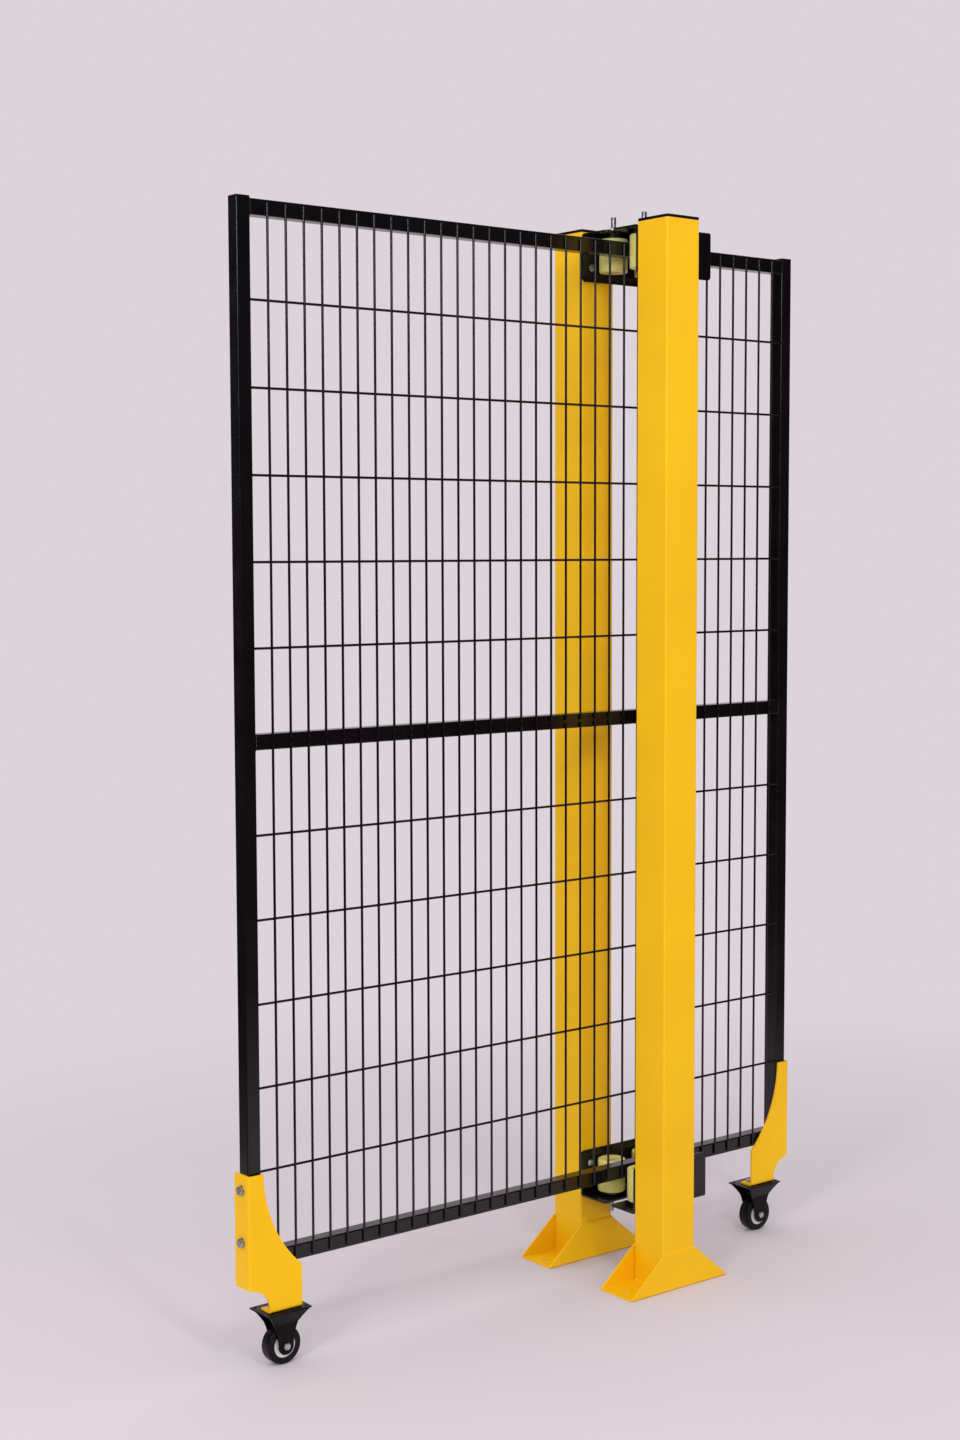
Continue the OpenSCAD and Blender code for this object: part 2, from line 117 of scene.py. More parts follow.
def tint(tree, shader, place, size, dark, light, detail=2.0):
    """Lets the base colour drift between two hex colours over patches of the given size."""
    drift = vary(tree, place, size, 0.0, 1.0, detail)
    shades = {"data_type": "RGBA", 6: linear(dark), 7: linear(light)}
    colour = add(tree, "ShaderNodeMix", shades, {0: drift})
    tree.links.new(colour.outputs[2], shader.inputs["Base Color"])


def gloss(tree, shader, place, size, low, high, detail=2.0):
    """Lets the roughness drift between low and high over patches of the given size."""
    tree.links.new(vary(tree, place, size, low, high, detail), shader.inputs["Roughness"])


def grain(tree, shader, place, size, strength, depth, detail=2.0):
    """Roughens the surface with random grains of the given size and depth in metres."""
    noise = add(tree, "ShaderNodeTexNoise", {"Scale": 1 / size, "Detail": detail}, {"Vector": place})
    height = noise.outputs["Fac"]
    bump = add(tree, "ShaderNodeBump", {"Strength": strength, "Distance": depth}, {"Height": height})
    tree.links.new(bump.outputs["Normal"], shader.inputs["Normal"])


def powder_coat(name, dark, light, rough, specular, orange_peel):
    """Baked polyester powder: a thick, even film that melts smooth but keeps a fine orange peel."""
    PEEL = 2.2 * MM  # width of one dimple
    PATCH = 220 * MM  # the film's thickness drifts over a hand's width
    SMEAR = 70 * MM  # handling leaves the gloss a little uneven
    material, tree, shader, place = new_finish(name)
    grain(tree, shader, place, PEEL, orange_peel, 0.06 * MM, detail=1.0)
    tint(tree, shader, place, PATCH, dark, light)
    gloss(tree, shader, place, SMEAR, rough - 0.05, rough + 0.06, detail=4.0)
    shader.inputs["Specular IOR Level"].default_value = specular
    return material


def dress(node, material, edge=0.0):
    """Gives a CAD node its finish, and rounds its edges as cutting and coating leave them."""
    FLAT = math.radians(1)  # faces that meet at less are one flat face
    CORNER = math.radians(40)  # edges that are sharper get rounded
    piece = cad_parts[node]
    piece.data.materials.clear()
    piece.data.materials.append(material)
    piece.data.shade_smooth()
    weld = piece.modifiers.new("weld", "WELD")
    weld.merge_threshold = 0.01 * MM
    if edge:
        flat = piece.modifiers.new("flat", "DECIMATE")
        flat.decimate_type = "DISSOLVE"
        flat.angle_limit = FLAT
        rounding = piece.modifiers.new("rounding", "BEVEL")
        rounding.width = edge
        rounding.segments = 2
        rounding.limit_method = "ANGLE"
        rounding.angle_limit = CORNER
    shade = piece.modifiers.new("shade", "WEIGHTED_NORMAL")
    shade.weight = 90


safety_yellow = powder_coat("yellow polyester powder coat", "#EEB708", "#F4BF0E", 0.38, 0.2, 0.3)
for node in ("front_post", "back_post"):
    dress(node, safety_yellow)

# ---- Post caps --------------------------------------------------------------
# Flat injection-moulded polyethylene caps pressed into the posts' open tops.
# Their rim is rounded and the moulding leaves a fine matt grain.


def moulded_black():
    """Black polyethylene from a lightly textured mould: matt, with a pin-prick grain."""
    PIN_PRICK = 0.8 * MM
    FLOW = 40 * MM  # the melt's flow leaves faint patches
    material, tree, shader, place = new_finish("black moulded polyethylene")
    grain(tree, shader, place, PIN_PRICK, 0.3, 0.05 * MM)
    tint(tree, shader, place, FLOW, "#0B0A0B", "#131213")
    shader.inputs["Roughness"].default_value = 0.55
    shader.inputs["Specular IOR Level"].default_value = 0.15
    return material


cap_plastic = moulded_black()
for node in ("front_post_cap", "back_post_cap"):
    dress(node, cap_plastic, 1.2 * MM)

# ---- Feet -------------------------------------------------------------------
# A shoe of 4 mm sheet, folded up on both sides of each post. Fillet welds run
# where the post meets the base and the flanges' tops, coated over in the same yellow.
SHEET = 4 * MM
FOOT_WELD = 3.0 * MM  # radius of a foot's weld bead
FOOT_RIPPLE = 2.6 * MM


def start_tree(name, inputs):
    """A Geometry Nodes tree with named inputs; returns it and the sockets of its inputs."""
    tree = bpy.data.node_groups.new(name, "GeometryNodeTree")
    tree.interface.new_socket("Geometry", in_out="INPUT", socket_type="NodeSocketGeometry")
    for label, kind in inputs.items():
        tree.interface.new_socket(label, in_out="INPUT", socket_type="NodeSocket" + kind)
    tree.interface.new_socket("Geometry", in_out="OUTPUT", socket_type="NodeSocketGeometry")
    return tree, tree.nodes.new("NodeGroupInput").outputs


def end_tree(tree, geometry, material):
    """Realizes what the tree made and gives it its material."""
    real = add(tree, "GeometryNodeRealizeInstances", links={"Geometry": geometry})
    painted = add(
        tree, "GeometryNodeSetMaterial", links={"Geometry": real.outputs[0], "Material": material}
    )
    add(tree, "NodeGroupOutput", links={"Geometry": painted.outputs[0]})


def grow(name, tree, sizes, base=None):
    """Runs a tree once on a base mesh and returns the result as a plain mesh object."""
    piece = bpy.data.objects.new(name, base or bpy.data.meshes.new(name))
    scene.collection.objects.link(piece)
    modifier = piece.modifiers.new("grow", "NODES")
    modifier.node_group = tree
    sockets = {
        item.name: item.identifier
        for item in tree.interface.items_tree
        if item.item_type == "SOCKET" and item.in_out == "INPUT"
    }
    for label, value in sizes.items():
        modifier[sockets[label]] = value
    made = bpy.data.meshes.new_from_object(piece.evaluated_get(bpy.context.evaluated_depsgraph_get()))
    piece.modifiers.clear()
    piece.data = made
    return piece


def settle(piece, body, slot, *nodes, crease=38):
    """Smooths a finished piece up to its creases, hangs it on its body's empty and hides the CAD nodes it
    stands in for.
    """
    piece.data.shade_smooth()
    piece.data.set_sharp_from_angle(angle=math.radians(crease))
    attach(piece, body)
    if nodes:
        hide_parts(*nodes)
    return piece


def lines_mesh(name, lines):
    """A mesh of separate straight edges."""
    mesh = bpy.data.meshes.new(name)
    points = [point for line in lines for point in line]
    mesh.from_pydata(points, [(i, i + 1) for i in range(0, len(points), 2)], [])
    return mesh


def bead_tree():
    """A row of overlapping drops along each edge of the base: the ripples of a weld."""
    inputs = {"Radius": "Float", "Ripple": "Float", "Material": "Material"}
    tree, given = start_tree("weld bead", inputs)
    path = add(tree, "GeometryNodeMeshToCurve", links={"Mesh": given["Geometry"]})
    steps = add(
        tree,
        "GeometryNodeResampleCurve",
        {"mode": "LENGTH"},
        {"Curve": path.outputs[0], "Length": given["Ripple"]},
    )
    points = add(tree, "GeometryNodeCurveToPoints", {"mode": "EVALUATED"}, {"Curve": steps.outputs[0]})
    drop = add(tree, "GeometryNodeMeshUVSphere", {"Segments": 10, "Rings": 6}, {"Radius": given["Radius"]})
    size = add(tree, "FunctionNodeRandomValue", {"data_type": "FLOAT", 2: 0.88, 3: 1.08, "Seed": 7})
    row = add(
        tree,
        "GeometryNodeInstanceOnPoints",
        links={"Points": points.outputs[0], "Instance": drop.outputs[0], "Scale": size.outputs[1]},
    )
    end_tree(tree, row.outputs[0], given["Material"])
    return tree


weld_bead = bead_tree()
for side in ("front", "back"):
    dress(side + "_foot", safety_yellow, 0.8 * MM)
    low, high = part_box(side + "_post")
    foot_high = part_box(side + "_foot")[1]
    inset = 6 * MM
    edges = [((x, low.y + inset, low.z), (x, high.y - inset, low.z)) for x in (low.x, high.x)]
    edges += [((low.x, y, foot_high.z), (high.x, y, foot_high.z)) for y in (low.y, high.y)]
    bead = grow(
        side + "_foot_welds",
        weld_bead,
        {"Radius": FOOT_WELD, "Ripple": FOOT_RIPPLE, "Material": safety_yellow},
        lines_mesh("foot_weld_lines", edges),
    )
    settle(bead, "posts", "yellow_coat", crease=60)

# ---- Guide brackets -----------------------------------------------------------
# Angles folded from 4 mm sheet and coated semi-gloss black. A flange is bolted
# to the post and a web reaches over or under the panel's edge.
satin_black = powder_coat("black polyester powder coat", "#0A0809", "#0F0C0E", 0.22, 0.45, 0.08)
GUIDES = ("front_lower", "back_lower", "front_upper", "back_upper")
for guide in GUIDES:
    dress(guide + "_bracket", satin_black, 0.7 * MM)

# ---- Bolts of the guide brackets --------------------------------------------
# M8 button-head screws with a hexagon socket, bright zinc plated, four to a
# bracket on a 40 mm square.
BUTTON_D = 15.2 * MM
BUTTON_H = 4.4 * MM
SOCKET = 5 * MM  # across the flats
BOLT_SQUARE = 40 * MM


def zinc_plate():
    """Bright passivated zinc on steel: a cool metal with soft cloudy patches and faint tumbling marks."""
    CLOUD = 5 * MM
    MARK = 0.7 * MM
    material, tree, shader, place = new_finish("bright zinc plated steel")
    grain(tree, shader, place, MARK, 0.25, 0.03 * MM, detail=3.0)
    tint(tree, shader, place, CLOUD, "#ACAEB2", "#D2D4D6")
    gloss(tree, shader, place, CLOUD, 0.34, 0.48)
    shader.inputs["Metallic"].default_value = 1.0
    return material


bright_zinc = zinc_plate()


def turn(bm, profile, place, sides=24, hexes=(), closed=False):
    """Turns a profile of (radius, height) about the Z axis of place. Rings in hexes are hexagons,
    measured across their flats. A closed profile is a ring round the axis; an open one starts and
    ends on it."""
    rings = []
    for index, (radius, height) in enumerate(profile):
        if radius == 0:
            rings.append([bm.verts.new(place @ Vector((0, 0, height)))])
            continue
        ring = []
        for step in range(sides):
            angle = 2 * math.pi * step / sides
            off = angle % (math.pi / 3) - math.pi / 6
            reach = radius / math.cos(off) if index in hexes else radius
            point = Vector((reach * math.cos(angle), reach * math.sin(angle), height))
            ring.append(bm.verts.new(place @ point))
        rings.append(ring)
    pairs = list(zip(rings, rings[1:]))
    if closed:
        pairs.append((rings[-1], rings[0]))
    for lower, upper in pairs:
        for step in range(sides):
            after = (step + 1) % sides
            if len(lower) == 1:
                bm.faces.new((lower[0], upper[step], upper[after]))
            elif len(upper) == 1:
                bm.faces.new((lower[step], lower[after], upper[0]))
            else:
                bm.faces.new((lower[step], lower[after], upper[after], upper[step]))


def piece_of(bm, name, material):
    """Closes a bmesh into a named object with its faces pointing outwards."""
    bmesh.ops.recalc_face_normals(bm, faces=bm.faces)
    mesh = bpy.data.meshes.new(name)
    bm.to_mesh(mesh)
    bm.free()
    mesh.materials.append(material)
    piece = bpy.data.objects.new(name, mesh)
    scene.collection.objects.link(piece)
    return piece


def arc(centre, radius, first, last, steps):
    """Points of a round stretch of a profile, from one angle to another in degrees."""
    angles = [math.radians(first + (last - first) * i / steps) for i in range(steps + 1)]
    return [(centre[0] + radius * math.cos(a), centre[1] + radius * math.sin(a)) for a in angles]


def button_head():
    """One screw head, its foot on the plane z = 0 and its dome along +Z."""
    wide = BUTTON_D / 2
    shank = 0.55 * wide
    sunk = SHEET / 2  # how far the modelled shank runs into the sheet
    ball = (wide * wide + BUTTON_H * BUTTON_H) / (2 * BUTTON_H)  # radius of the dome
    rim = math.degrees(math.asin((ball - BUTTON_H) / ball))
    lip = math.degrees(math.acos(0.62 * SOCKET / ball))  # just past the socket's corners
    dome = arc((0, BUTTON_H - ball), ball, rim, lip, 5)
    mouth = dome[-1][1]
    bottom = mouth - 2.6 * MM
    profile = [(0, -sunk), (shank, -sunk), (shank, 0), (wide - 0.2 * MM, 0), *dome]
    hexes = [len(profile), len(profile) + 1]
    profile += [(SOCKET / 2, mouth - 0.1 * MM), (SOCKET / 2, bottom), (0, bottom - 0.3 * MM)]
    bm = bmesh.new()
    turn(bm, profile, Matrix.Identity(4), hexes=hexes)
    return piece_of(bm, "button_head", bright_zinc)


def fastener_tree():
    """Sets one fastener on each point of the base, turned to its face and spun by chance."""
    inputs = {"Fastener": "Object", "Facing": "Rotation", "Material": "Material"}
    tree, given = start_tree("fasteners", inputs)
    part = add(tree, "GeometryNodeObjectInfo", links={"Object": given["Fastener"]})
    spin = add(tree, "FunctionNodeRandomValue", {"data_type": "FLOAT", 2: 0.0, 3: math.tau, "Seed": 3})
    spun = add(tree, "ShaderNodeCombineXYZ", links={"Z": spin.outputs[1]})
    facing = add(
        tree,
        "FunctionNodeRotateRotation",
        {"rotation_space": "LOCAL"},
        {"Rotation": given["Facing"], "Rotate By": spun.outputs[0]},
    )
    placed = add(
        tree,
        "GeometryNodeInstanceOnPoints",
        links={
            "Points": given["Geometry"],
            "Instance": part.outputs["Geometry"],
            "Rotation": facing.outputs[0],
        },
    )
    end_tree(tree, placed.outputs[0], given["Material"])
    return tree


def points_mesh(name, points):
    """A mesh of loose points."""
    mesh = bpy.data.meshes.new(name)
    mesh.from_pydata(points, [], [])
    return mesh


fasteners = fastener_tree()
screw = button_head()
for side, sign in (("front", 1), ("back", -1)):
    spots = []
    for level in ("lower", "upper"):
        low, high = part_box(f"{side}_{level}_bracket")
        face = low.y + SHEET if sign > 0 else high.y - SHEET
        middle = (low.z + high.z) / 2
        spots += [
            (x * BOLT_SQUARE / 2, face, middle + z * BOLT_SQUARE / 2) for x in (-1, 1) for z in (-1, 1)
        ]
    heads = grow(
        side + "_bracket_screws",
        fasteners,
        {"Fastener": screw, "Facing": (math.radians(-90 * sign), 0.0, 0.0), "Material": bright_zinc},
        points_mesh("screw_spots", spots),
    )
    settle(heads, "posts", "zinc_plate", side + "_bracket_bolts")
bpy.data.objects.remove(screw)

# ---- Guide rollers ------------------------------------------------------------
# Turned from cast nylon rod, 60 mm across. The stock is a waxy cream that lets a
# little light in, and the lathe leaves fine rings on it.
ROLLER_BORE = 6.3 * MM  # radius
RECESS_R = 18 * MM
RECESS_H = 14 * MM


def cast_nylon():
    """Cast nylon, natural with a yellow cast: satin, slightly translucent, with turning rings."""
    RING = 1.2 * MM  # the cutter's feed is finer; this is what still shows
    GROOVE = 0.04 * MM
    CLOUD = 25 * MM  # the casting is a little paler here and there
    RUB = 12 * MM  # rubbing by the panel leaves the gloss uneven
    material, tree, shader, place = new_finish("turned cast nylon")
    height = add(tree, "ShaderNodeSeparateXYZ", links={"Vector": place}).outputs["Z"]
    wave = add(tree, "ShaderNodeMath", {"operation": "MULTIPLY", 1: math.tau / RING}, {0: height})
    ring = add(tree, "ShaderNodeMath", {"operation": "SINE"}, {0: wave.outputs[0]})
    bump = add(tree, "ShaderNodeBump", {"Strength": 0.2, "Distance": GROOVE}, {"Height": ring.outputs[0]})
    tree.links.new(bump.outputs["Normal"], shader.inputs["Normal"])
    tint(tree, shader, place, CLOUD, "#D2CA68", "#E4DC88", detail=3.0)
    gloss(tree, shader, place, RUB, 0.36, 0.5)
    shader.inputs["Subsurface Weight"].default_value = 0.15
    shader.inputs["Subsurface Radius"].default_value = (6 * MM, 5 * MM, 2 * MM)
    shader.inputs["Subsurface Scale"].default_value = 1.0
    return material


nylon = cast_nylon()


def roller_profile(radius, height):
    """The roller's wall from its bore outwards, over both rims, and into the bolt's recess."""
    rim = 2.5 * MM
    lip = 1 * MM
    hollow = 0.6 * MM  # the end face is turned back between its bore and its rim
    step = 1 * MM
    boss = ROLLER_BORE + 7 * MM
    return [
        (ROLLER_BORE, 0),
        (boss, 0),
        (boss + step, hollow),
        (radius - rim - 2 * step, hollow),
        (radius - rim - step, 0),
        *arc((radius - rim, rim), rim, -90, 0, 4),
        *arc((radius - rim, height - rim), rim, 0, 90, 4),
        *arc((RECESS_R + lip, height - lip), lip, 90, 180, 2),
        (RECESS_R, height - RECESS_H),
        (ROLLER_BORE, height - RECESS_H),
    ]


for guide in GUIDES:
    for hand in ("left", "right"):
        node = f"{guide}_{hand}_roller"
        low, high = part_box(node)
        upper = guide.endswith("upper")
        base = Matrix.Translation(((low.x + high.x) / 2, (low.y + high.y) / 2, high.z if upper else low.z))
        flip = Matrix.Scale(-1 if upper else 1, 4, (0, 0, 1))
        wall = roller_profile((high.x - low.x) / 2, high.z - low.z)
        bm = bmesh.new()
        turn(bm, wall, base @ flip, sides=72, closed=True)
        settle(piece_of(bm, "turned_" + node, nylon), node, "cream_nylon", node)

# ---- Roller bolts -------------------------------------------------------------
# M12 bolts, bright zinc. The head and a washer sit in the roller's recess, a
# thin nut and washer hold the web inside, and a full nut locks it outside.
ROD_R = 6 * MM
PITCH = 1.75 * MM
RIDGE = 0.25 * PITCH  # half the thread's depth
TIP = 1 * MM  # bare end of a rod
WASHER_R = 12 * MM
WASHER_T = 2 * MM
NUT_R = 9.5 * MM  # half the width across the flats
NUT_H = 9.6 * MM
THIN_NUT_H = 6 * MM
HEAD_H = 7.5 * MM
LIFT = 8.3 * MM  # from the web to the roller
RUNNING_GAP = 0.3 * MM  # between the roller and the washer under the bolt's head


def washer(bm, place, low, radius=WASHER_R, bore=ROD_R):
    """A flat washer with slightly rounded edges, its lower face at the height low."""
    edge = 0.3 * MM
    top = low + WASHER_T
    outer = [(radius - edge, low), (radius, low + edge), (radius, top - edge), (radius - edge, top)]
    turn(bm, [(bore, low), *outer, (bore, top)], place, sides=36, closed=True)


def hexagon(bm, place, low, high, across):
    """A nut or bolt head with both faces chamfered to a circle."""
    bevel = 0.08 * across
    face = 0.96 * across
    flats = [(across, low + bevel), (across, high - bevel)]
    turn(bm, [(0, low), (face, low), *flats, (face, high), (0, high)], place, sides=36, hexes=(2, 3))


def thread_tree():
    """A screw thread on each point of the base: a sharp ridge wound round a core."""
    inputs = dict.fromkeys(("Radius", "Ridge", "Turns", "Length"), "Float")
    tree, given = start_tree("screw thread", {**inputs, "Material": "Material"})
    helix = add(
        tree,
        "GeometryNodeCurveSpiral",
        {"Resolution": 32},
        {
            "Rotations": given["Turns"],
            "Start Radius": given["Radius"],
            "End Radius": given["Radius"],
            "Height": given["Length"],
        },
    )
    ridge = add(tree, "GeometryNodeCurvePrimitiveCircle", {"Resolution": 4}, {"Radius": given["Ridge"]})
    wound = add(
        tree,
        "GeometryNodeCurveToMesh",
        {"Fill Caps": True},
        {"Curve": helix.outputs[0], "Profile Curve": ridge.outputs[0]},
    )
    placed = add(
        tree,
        "GeometryNodeInstanceOnPoints",
        links={"Points": given["Geometry"], "Instance": wound.outputs[0]},
    )
    end_tree(tree, placed.outputs[0], given["Material"])
    return tree


threads = thread_tree()
for guide in GUIDES:
    upper = guide.endswith("upper")
    sign = -1 if upper else 1
    web_low, web_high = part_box(guide + "_bracket")
    end_low, end_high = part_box(guide + "_roller_bolts")
    web = web_high.z if upper else web_low.z
    out = end_high.z - web if upper else web - end_low.z
    core = ROD_R - RIDGE
    length = out - WASHER_T - NUT_H - 1.5 * TIP
    bottom = web + WASHER_T + NUT_H if upper else web - out + TIP
    bm = bmesh.new()
    starts = []
    for hand in ("left", "right"):
        low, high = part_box(f"{guide}_{hand}_roller")
        centre = Vector(((low.x + high.x) / 2, (low.y + high.y) / 2, web))
        place = Matrix.Translation(centre) @ Matrix.Scale(sign, 4, (0, 0, 1))
        seat = SHEET + LIFT + (high.z - low.z) - RECESS_H + RUNNING_GAP
        end = [(0, -out), (core - 0.6 * MM, -out), (core, 0.8 * MM - out)]
        turn(bm, [*end, (core, 0), (ROD_R, 0), (ROD_R, seat), (0, seat)], place)
        hexagon(bm, place, -WASHER_T - NUT_H, -WASHER_T, NUT_R)
        washer(bm, place, -WASHER_T)
        washer(bm, place, SHEET)
        hexagon(bm, place, SHEET + WASHER_T, SHEET + WASHER_T + THIN_NUT_H, NUT_R)
        washer(bm, place, seat)
        hexagon(bm, place, seat + WASHER_T, seat + WASHER_T + HEAD_H, NUT_R)
        starts.append((centre.x, centre.y, bottom))
    winding = grow(
        "winding",
        threads,
        {"Radius": core, "Ridge": RIDGE, "Turns": length / PITCH, "Length": length, "Material": bright_zinc},
        points_mesh("thread_starts", starts),
    )
    bmesh.ops.recalc_face_normals(bm, faces=bm.faces)
    bm.from_mesh(winding.data)
    bpy.data.objects.remove(winding)
    bolts = piece_of(bm, guide + "_threaded_bolts", bright_zinc)
    settle(bolts, "posts", "zinc_plate", guide + "_roller_bolts", crease=30)

# ---- Panel frame --------------------------------------------------------------
# 30 mm square tube with a 2 mm wall, mitre-free: three rails butt between two
# stiles, are welded all round, dressed and coated with the same black powder.
FRAME_WELD = 1.6 * MM  # radius of a bead
FRAME_RIPPLE = 1.6 * MM
for node in ("left_stile", "right_stile", "top_rail", "middle_rail", "bottom_rail"):
    dress(node, satin_black)
dress("stile_caps", cap_plastic, 0.9 * MM)

seams = []
for node in ("top_rail", "middle_rail", "bottom_rail"):
    low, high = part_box(node)
    inset = 3 * MM
    for x in (low.x, high.x):
        seams += [((x, low.y + inset, z), (x, high.y - inset, z)) for z in (low.z, high.z)]
        seams += [((x, y, low.z + inset), (x, y, high.z - inset)) for y in (low.y, high.y)]
bead = grow(
    "frame_welds",
    weld_bead,
    {"Radius": FRAME_WELD, "Ripple": FRAME_RIPPLE, "Material": satin_black},
    lines_mesh("frame_weld_lines", seams),
)
settle(bead, "panel", "black_coat", crease=60)

# ---- Mesh -------------------------------------------------------------------
# Two fields of 5 mm drawn wire. Upright bars cross level wires, resistance
# welded at each crossing, and the bars are welded to the front of the rails.
BAR_R = 2.5 * MM
NUGGET_R = 3 * MM  # radius of the weld at a crossing
BAR_PITCH = 40 * MM
WIRE_PITCH = 160 * MM
BARS = 34
WIRES = 5


def field_tree():
    """Upright bars, level wires behind them, and a nugget of weld at every crossing."""
    inputs = {
        "Bars": "Int",
        "Bar Pitch": "Float",
        "Bar Length": "Float",
        "First Bar": "Vector",
        "Wires": "Int",
        "Wire Pitch": "Float",
        "Wire Length": "Float",
        "First Wire": "Vector",
        "First Crossing": "Vector",
        "Radius": "Float",
        "Nugget": "Float",
        "Material": "Material",
    }
    tree, given = start_tree("welded wire field", inputs)
    joined = add(tree, "GeometryNodeJoinGeometry")
    steps = {}
    for row, axis, tip in (("Bar", "X", 0.0), ("Wire", "Z", math.pi / 2)):
        steps[row] = add(tree, "ShaderNodeCombineXYZ", links={axis: given[row + " Pitch"]}).outputs[0]
        places = add(
            tree,
            "GeometryNodeMeshLine",
            {"mode": "OFFSET"},
            {"Count": given[row + "s"], "Start Location": given["First " + row], "Offset": steps[row]},
        )
        rod = add(
            tree,
            "GeometryNodeMeshCylinder",
            {"Vertices": 12},
            {"Radius": given["Radius"], "Depth": given[row + " Length"]},
        )
        laid = add(tree, "GeometryNodeTransform", {"Rotation": (0.0, tip, 0.0)}, {"Geometry": rod.outputs[0]})
        set_out = add(
            tree,
            "GeometryNodeInstanceOnPoints",
            links={"Points": places.outputs[0], "Instance": laid.outputs[0]},
        )
        tree.links.new(set_out.outputs[0], joined.inputs[0])
    column = add(
        tree, "GeometryNodeMeshLine", {"mode": "OFFSET"}, {"Count": given["Wires"], "Offset": steps["Wire"]}
    )
    row = add(
        tree,
        "GeometryNodeMeshLine",
        {"mode": "OFFSET"},
        {"Count": given["Bars"], "Start Location": given["First Crossing"], "Offset": steps["Bar"]},
    )
    crossings = add(
        tree,
        "GeometryNodeInstanceOnPoints",
        links={"Points": row.outputs[0], "Instance": column.outputs[0]},
    )
    spots = add(tree, "GeometryNodeRealizeInstances", links={"Geometry": crossings.outputs[0]})
    nugget = add(tree, "GeometryNodeMeshUVSphere", {"Segments": 8, "Rings": 6}, {"Radius": given["Nugget"]})
    squeeze = add(tree, "FunctionNodeRandomValue", {"data_type": "FLOAT", 2: 0.85, 3: 1.05, "Seed": 11})
    welds = add(
        tree,
        "GeometryNodeInstanceOnPoints",
        links={"Points": spots.outputs[0], "Instance": nugget.outputs[0], "Scale": squeeze.outputs[1]},
    )
    tree.links.new(welds.outputs[0], joined.inputs[0])
    end_tree(tree, joined.outputs[0], given["Material"])
    return tree


wire_field = field_tree()
middle_low, middle_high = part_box("middle_rail")
for node, first_level in (
    ("upper_mesh", middle_high.z + WIRE_PITCH),
    ("lower_mesh", middle_low.z - WIRES * WIRE_PITCH),
):
    low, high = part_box(node)
    centre = (low + high) / 2
    first_x = centre.x - (BARS - 1) * BAR_PITCH / 2
    bar_y = low.y + BAR_R
    wire_y = high.y - BAR_R
    field = grow(
        "welded_" + node,
        wire_field,
        {
            "Bars": BARS,
            "Bar Pitch": BAR_PITCH,
            "Bar Length": high.z - low.z,
            "First Bar": (first_x, bar_y, centre.z),
            "Wires": WIRES,
            "Wire Pitch": WIRE_PITCH,
            "Wire Length": high.x - low.x,
            "First Wire": (centre.x, wire_y, first_level),
            "First Crossing": (first_x, (bar_y + wire_y) / 2, first_level),
            "Radius": BAR_R,
            "Nugget": NUGGET_R,
            "Material": satin_black,
        },
    )
    settle(field, "panel", "black_coat", node)

# ---- Caster brackets ----------------------------------------------------------
# Gussets folded from 4 mm sheet, laser cut with a hollow edge, and coated
# yellow. A flange is bolted to the stile's side and a seat lies over the caster.
SIDES = (("left", 1), ("right", -1))
for side, inward in SIDES:
    dress(side + "_caster_bracket", safety_yellow, 0.8 * MM)

# ---- Bolts of the casters -------------------------------------------------------
# Two M10 hexagon bolts with washers go through each flange into the stile, and
# two M8 bolts with nuts hold the caster's plate under the seat.
FLANGE_BOLT_R = 5 * MM
FLANGE_HEAD = 8 * MM  # half the width across the flats
FLANGE_BOLTS = (53 * MM, 154 * MM)  # above the stile's foot
FLANGE_REACH = 12 * MM  # how far such a bolt goes into the stile
SEAT_BOLT_R = 4 * MM
SEAT_HEAD = 6.5 * MM  # half the width across the flats
SEAT_HEAD_H = 5 * MM
SEAT_NUT_H = 6.3 * MM
SEAT_BOLTS = (60 * MM, 96 * MM)  # in from the stile's outer face


def stamped_head(bm, place, low, high, across):
    """A hexagon bolt's head: a washer face below, chamfered corners and a shallow dish on top."""
    seat_r, seat_h = 0.95 * across, 0.5 * MM
    bevel = 0.1 * across
    crown, brim, dish = 0.94 * across, 0.66 * across, 0.58 * across
    bottom = high - 0.6 * MM
    profile = [
        (0, low),
        (seat_r, low),
        (seat_r, low + seat_h),
        (across, low + seat_h),
        (across, high - bevel),
        (crown, high),
        (brim, high),
        (dish, bottom),
        (0, bottom),
    ]
    turn(bm, profile, place, sides=36, hexes=(3, 4))


for side, inward in SIDES:
    stile_low, stile_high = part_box(side + "_stile")
    bolts_low, bolts_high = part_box(side + "_caster_bolts")
    fork_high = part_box(side + "_caster_fork")[1]
    middle_y = (stile_low.y + stile_high.y) / 2
    edge, head_top = (stile_low.x, bolts_low.x) if inward > 0 else (stile_high.x, bolts_high.x)
    outward = Matrix.Rotation(math.radians(-90 * inward), 4, "Y")
    bm = bmesh.new()
    for height in FLANGE_BOLTS:
        spot = Vector((edge - inward * SHEET, middle_y, stile_low.z + height))
        place = Matrix.Translation(spot) @ outward
        end = -SHEET - FLANGE_REACH
        washer(bm, place, 0, radius=2 * FLANGE_BOLT_R, bore=FLANGE_BOLT_R)
        stamped_head(bm, place, WASHER_T, abs(edge - head_top) - SHEET, FLANGE_HEAD)
        turn(bm, [(0, end), (FLANGE_BOLT_R, end + 1 * MM), (FLANGE_BOLT_R, WASHER_T), (0, WASHER_T)], place)
    for reach in SEAT_BOLTS:
        spot = Vector((edge + inward * reach, middle_y, fork_high.z + SHEET))
        place = Matrix.Translation(spot)
        end = bolts_low.z - spot.z
        stamped_head(bm, place, 0, SEAT_HEAD_H, SEAT_HEAD)
        turn(bm, [(0, end), (SEAT_BOLT_R, end), (SEAT_BOLT_R, 0), (0, 0)], place)
        hexagon(bm, place, end, end + SEAT_NUT_H, SEAT_HEAD)
    bolts = piece_of(bm, side + "_caster_hex_bolts", bright_zinc)
    settle(bolts, "panel", "zinc_plate", side + "_caster_bolts")

